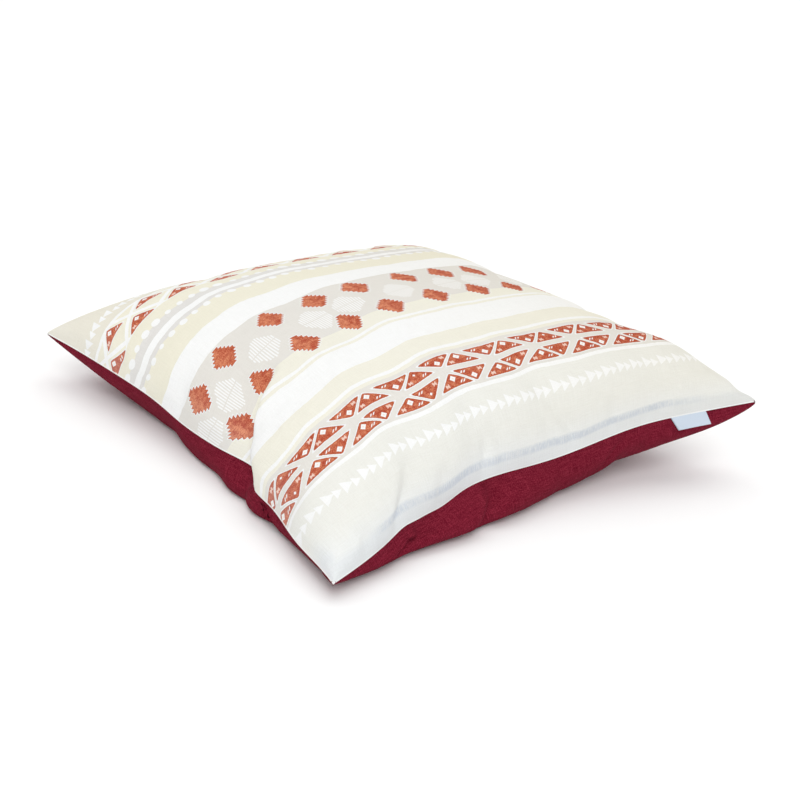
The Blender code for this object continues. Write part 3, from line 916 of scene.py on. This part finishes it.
        # Painted shade: the cloth turns greyer towards each seam, partly the allowance showing through. The
        # line on it is partly the allowance and partly painted shade of its step.
        allowance_and_shade = inset.under(ALLOWANCE_AND_SHADE_WIDTH, 5.0) * 0.30 + line.share() * blotch * fleck * lining * 1.1
        colour = self.mixed(inset.under(PALER_WIDTH, 26.0) * 0.7 * near_front, colour, SEAM_PALE)
        colour = self.mixed((allowance_and_shade * near_front).share(), colour, SHOW_THROUGH_AND_SHADE_GREY)
        # Painted shade: warmer and darker towards the right and the back, where less light falls.
        warm_shade = self.u * 0.8 + self.v * 0.1
        colour = self.mixed(warm_shade.over(WARM_SHADE_START, 300.0), colour, WARM_SHADE, "MULTIPLY")
        # Painted highlight: a white line along the very edge, where the cover rolls over towards the seam.
        return self.mixed(inset.under(EDGE_HIGHLIGHT_WIDTH, 0.5) * 0.8, colour, WHITE)


# The weave: the pitch of the print's threads in millimetres, the height of each cloth's threads in
# metres, and the tint of the print's darker threads
THREAD_PITCH = 0.9
PRINT_RELIEF = 0.00010
BURGUNDY_RELIEF = 0.00012
THREAD_TINT = (0.78, 0.76, 0.72)


def printed_canvas():
    cloth = Print()
    slub = cloth.noise(16.0, 0.7, seed=21.0) + cloth.noise(0.7, 16.0, seed=22.0)
    weave = cloth.u.sine(THREAD_PITCH) * cloth.v.sine(THREAD_PITCH)
    cloth.relief(weave * 0.4 + slub * 2.2, PRINT_RELIEF)
    colour = cloth.seams_and_painted_light(cloth.colour())
    shade = (slub * 1.3 + cloth.noise(1.2, 1.2, 3.0, seed=25.0) * 1.2 + 0.30).share()
    return cloth.finish(cloth.mixed(shade * 0.30, colour, THREAD_TINT, "MULTIPLY"))


def burgundy_canvas():
    cloth = Cloth("burgundy_canvas_look", roughness=0.9, sheen=0.0, shine=0.05)
    slub = cloth.noise(12.0, 0.6, seed=21.0) + cloth.noise(0.6, 12.0, seed=22.0)
    twill = cloth.noise(2.2, 0.8, 3.0, seed=31.0, turned=True)
    cloth.relief(slub * 1.5 + twill * 1.5, BURGUNDY_RELIEF)
    light = (twill * 2.4 + slub * 1.4 + cloth.noise(0.8, 0.8, seed=33.0) * 1.6 + 0.36).share()
    return cloth.finish(cloth.mixed(light, BURGUNDY_DARK, BURGUNDY_LIGHT))


def plain_look(name, colour, roughness):
    made = bpy.data.materials.new(name)
    made.use_nodes = True
    inputs = {"Base Color": colour, "Roughness": roughness, "Specular IOR Level": 0.2}
    feed(made.node_tree.nodes["Principled BSDF"], inputs)
    return made


# The cover's edge curls in towards the seam, and the back panel starts a little under it. Edges of the
# cloth and of the tape that bend by more degrees than these stay sharp.
EDGE_TUCK = 0.0009
SEAM_DROP = 0.0016
SEAM_TUCK = 0.0009
SHARP_CLOTH = 60
SHARP_TAPE = 40


def make_cover(surface, up, outward):
    inner = surface - up * CLOTH
    inner[rim(len(surface))] -= outward * EDGE_TUCK
    return shell("printed_cover", surface, inner, flat_places(surface, SLIPS), printed_canvas())


def make_filled_back(surface, up, outward, back):
    """The filling and the burgundy panel under it. Its shown side faces down."""
    top = surface - up * (CLOTH + CLEARANCE)
    under = back.copy()
    edge = rim(len(surface))
    under[edge] = surface[edge] - up[edge] * SEAM_DROP - outward * SEAM_TUCK
    top[edge] -= outward * (SEAM_TUCK + EDGE_TUCK)
    under, top = under[:, ::-1], top[:, ::-1]
    return shell("filled_back", under, top, flat_places(under), burgundy_canvas())


# The label's tape: its middle along the front seam, its width, its half thickness, half the distance
# between its two layers, the way from its root to its fold, how much narrower its fold is, the steps
# across it, along a layer and round its fold, how far outside the seam it starts, and its slight wave
TAPE_AT = 0.1498
TAPE_WIDTH = 0.0310
TAPE_HALF = 0.0002
TAPE_BEND = 0.00035
TAPE_FALL = (0.0026, -0.0070, -0.0088)
TAPE_TAPER = 0.0013
TAPE_STEPS = 24
TAPE_LAYER_STEPS = 4
TAPE_TURN_STEPS = 6
TAPE_ROOT = -0.0004
TAPE_WAVE = {"height": 0.0005, "turn": 2.6, "start": 0.5}
TAPE_ROUGHNESS = 0.55


def tape_profile(reach):
    """Section of the folded tape, once round: how far out of the seam, and how far off its middle."""
    bend = reach - TAPE_BEND
    path = [(bend * k / TAPE_LAYER_STEPS, 0.0) for k in range(TAPE_LAYER_STEPS + 1)]
    turns = [(bend, math.pi * k / TAPE_TURN_STEPS) for k in range(1, TAPE_TURN_STEPS)]
    path += turns + [(out, math.pi) for out, _ in reversed(path)]
    sides = []
    for radius in (TAPE_BEND + TAPE_HALF, TAPE_BEND - TAPE_HALF):
        sides.append([(out + radius * math.sin(turn), radius * math.cos(turn)) for out, turn in path])
    return sides[0] + sides[1][::-1]


def make_label(p_line, seam_line):
    """The folded tape: two layers round a bend, out of the front seam."""
    across = np.linspace(-1, 1, TAPE_STEPS + 1)
    places = TAPE_AT + across * TAPE_WIDTH / 2
    root = np.stack([np.interp(places, p_line * SIDE / 2, seam_line[:, k]) for k in range(3)], axis=-1)
    reach = np.linalg.norm(TAPE_FALL)
    fall = np.array(TAPE_FALL) / reach
    side = unit(root[-1] - root[0])
    face = unit(np.cross(side, fall))
    face *= np.sign(face[2])
    root += fall * TAPE_ROOT
    profile = tape_profile(reach)
    rings = []
    for place, start in zip(across, root):
        wavy = TAPE_WAVE["height"] * math.sin(place * TAPE_WAVE["turn"] + TAPE_WAVE["start"])
        for out, off in profile:
            narrow = side * (-place * TAPE_TAPER * out / reach)
            lift = face * (off - TAPE_BEND - TAPE_HALF + wavy * out / reach)
            rings.append(start + fall * out + narrow + lift)
    count = len(profile)
    last = TAPE_STEPS * count
    around = [(k, (k + 1) % count) for k in range(count)]
    faces = [(s + a, s + a + count, s + b + count, s + b) for s in range(0, last, count) for a, b in around]
    ends = [(k, k + 1, count - 2 - k, count - 1 - k) for k in range(count // 2 - 1)]
    faces += ends + [(last + a, last + d, last + c, last + b) for a, b, c, d in ends]
    return turned_out("seam_tape", rings, faces, plain_look("label_tape_look", TAPE_WHITE, TAPE_ROUGHNESS))


def turned_out(name, points, faces, look):
    """A closed piece from its points and faces, with every face turned to the outside."""
    mesh = new_mesh(name, np.array(points) - BOX_MIDDLE, faces)
    bm = bmesh.new()
    bm.from_mesh(mesh)
    bmesh.ops.recalc_face_normals(bm, faces=bm.faces)
    bm.to_mesh(mesh)
    bm.free()
    return finished(name, mesh, look, SHARP_TAPE)


# The photograph's view: the camera's turn, height and roll in degrees, its distance from the point
# that it looks at, and its focal length and optical centre in pixels of an 800 pixel frame
VIEW_TURN = -41.353
VIEW_HEIGHT = 17.966
VIEW_ROLL = 6.919
VIEW_DISTANCE = 1.045767
VIEW_TARGET = (0.054822, 0.050401, 0.040)
FOCAL = 1170.398
CENTRE = (403.986, 357.787)
FRAME = 800.0
SENSOR = 36.0

# The floor: how far it reaches, where, how softly and in how many steps it sweeps up into a wall, and
# its colour and roughness
FLOOR_REACH = 12.0
SWEEP_START = 3.0
SWEEP_RADIUS = 3.0
SWEEP_STEPS = 12
FLOOR_COLOUR = (0.95, 0.95, 0.95)
FLOOR_ROUGHNESS = 0.9

# A round ground under the floor, as radius and height, which closes the horizon from other sides
GROUND = ((6.0, -0.01), (18.0, -0.01), (60.0, 6.0))
GROUND_SIDES = 96

# The sky, and for each light its kind, its place, its power, its colour and how far it spreads. All
# lights shine on the middle of the cushion.
SKY = {"Color": (0.985, 0.99, 1.0), "Strength": 0.54}
Light = namedtuple("Light", "name kind place power colour spread")
LIGHTS = (
    Light("key", "SUN", (-0.9, -1.2, 1.4), 1.04, (1.0, 0.995, 0.985), {"angle": math.radians(34)}),
    Light("top", "SUN", (0.1, 0.3, 1.6), 0.85, (1.0, 0.985, 0.96), {"angle": math.radians(60)}),
    Light("near", "AREA", (-0.8, -0.9, 0.9), 1.8, (0.93, 0.97, 1.0), {"shape": "DISK", "size": 0.6}),
)


def make_camera():
    turn, height, roll = (math.radians(angle) for angle in (VIEW_TURN, VIEW_HEIGHT, VIEW_ROLL))
    axes = Matrix.Rotation(turn, 3, "Z") @ Matrix.Rotation(math.pi / 2 - height, 3, "X")
    axes = axes @ Matrix.Rotation(roll, 3, "Z")
    place = Vector(VIEW_TARGET) + VIEW_DISTANCE * axes.col[2] - Vector(BOX_MIDDLE)
    lens = set_up(bpy.data.cameras.new("camera"), sensor_width=SENSOR, lens=FOCAL / FRAME * SENSOR)
    lens.shift_x = (FRAME / 2 - CENTRE[0]) / FRAME
    lens.shift_y = (CENTRE[1] - FRAME / 2) / FRAME
    camera = added("camera", lens)
    camera.matrix_world = Matrix.Translation(place) @ axes.to_4x4()
    bpy.context.scene.camera = camera


def add_stage(name, points, faces, look):
    mesh = new_mesh(name, points, faces)
    mesh.shade_smooth()
    mesh.materials.append(look)
    stage = added(name, mesh)


def make_floor():
    """A pale floor that sweeps up into a wall far behind the cushion, seen from the camera."""
    section = [(-FLOOR_REACH, 0.0)]
    for k in range(SWEEP_STEPS + 1):
        turn = math.pi / 2 * k / SWEEP_STEPS
        rise = SWEEP_RADIUS * (1 - math.cos(turn))
        section.append((SWEEP_START + SWEEP_RADIUS * math.sin(turn), rise))
    section.append((SWEEP_START + SWEEP_RADIUS, FLOOR_REACH))
    turned = Matrix.Rotation(math.radians(VIEW_TURN), 3, "Z")
    corners = [turned @ Vector((end, y, z)) for end in (-FLOOR_REACH, FLOOR_REACH) for y, z in section]
    count = len(section)
    faces = [(k, k + count, k + count + 1, k + 1) for k in range(count - 1)]
    look = plain_look("pale_floor_look", FLOOR_COLOUR, FLOOR_ROUGHNESS)
    add_stage("floor", corners, faces, look)
    turns = [2 * math.pi * k / GROUND_SIDES for k in range(GROUND_SIDES)]
    points = [(out * math.cos(t), out * math.sin(t), height) for out, height in GROUND for t in turns]
    rings = np.arange(len(points)).reshape(-1, GROUND_SIDES)
    faces = np.concatenate([band_faces(inner, outer) for inner, outer in zip(rings, rings[1:])])
    add_stage("ground", points, faces, look)


def light_studio():
    """An even sky, two broad lights that fall evenly on the floor, and a small round one close by."""
    world = bpy.data.worlds.new("studio")
    bpy.context.scene.world = world
    world.use_nodes = True
    feed(world.node_tree.nodes["Background"], SKY)
    for row in LIGHTS:
        light = bpy.data.lights.new(row.name, row.kind)
        lamp = added(row.name, set_up(light, energy=row.power, color=row.colour, **row.spread))
        lamp.location = row.place
        lamp.rotation_euler = (-Vector(row.place)).to_track_quat("-Z", "Y").to_euler()
    bpy.context.scene.view_settings.view_transform = "Standard"


def declare(piece, node):
    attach(piece, "root")
    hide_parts(node)


def main():
    make_camera()
    make_floor()
    light_studio()
    p, q = grid_places(CELLS)
    surface, under = front_skin(p, q), back_skin(p, q)
    above, below = settle()
    surface = surface + normals(surface) * above[..., None]
    under = under - normals(under) * below[..., None]
    up = normals(surface)
    outward = rim_outward(surface, up)
    cover = make_cover(surface, up, outward)
    body = make_filled_back(surface, up, outward, under)
    label = make_label(p[0], surface[0])
    declare(cover, "front_panel")
    declare(body, "cushion_body")
    declare(label, "label")


main()
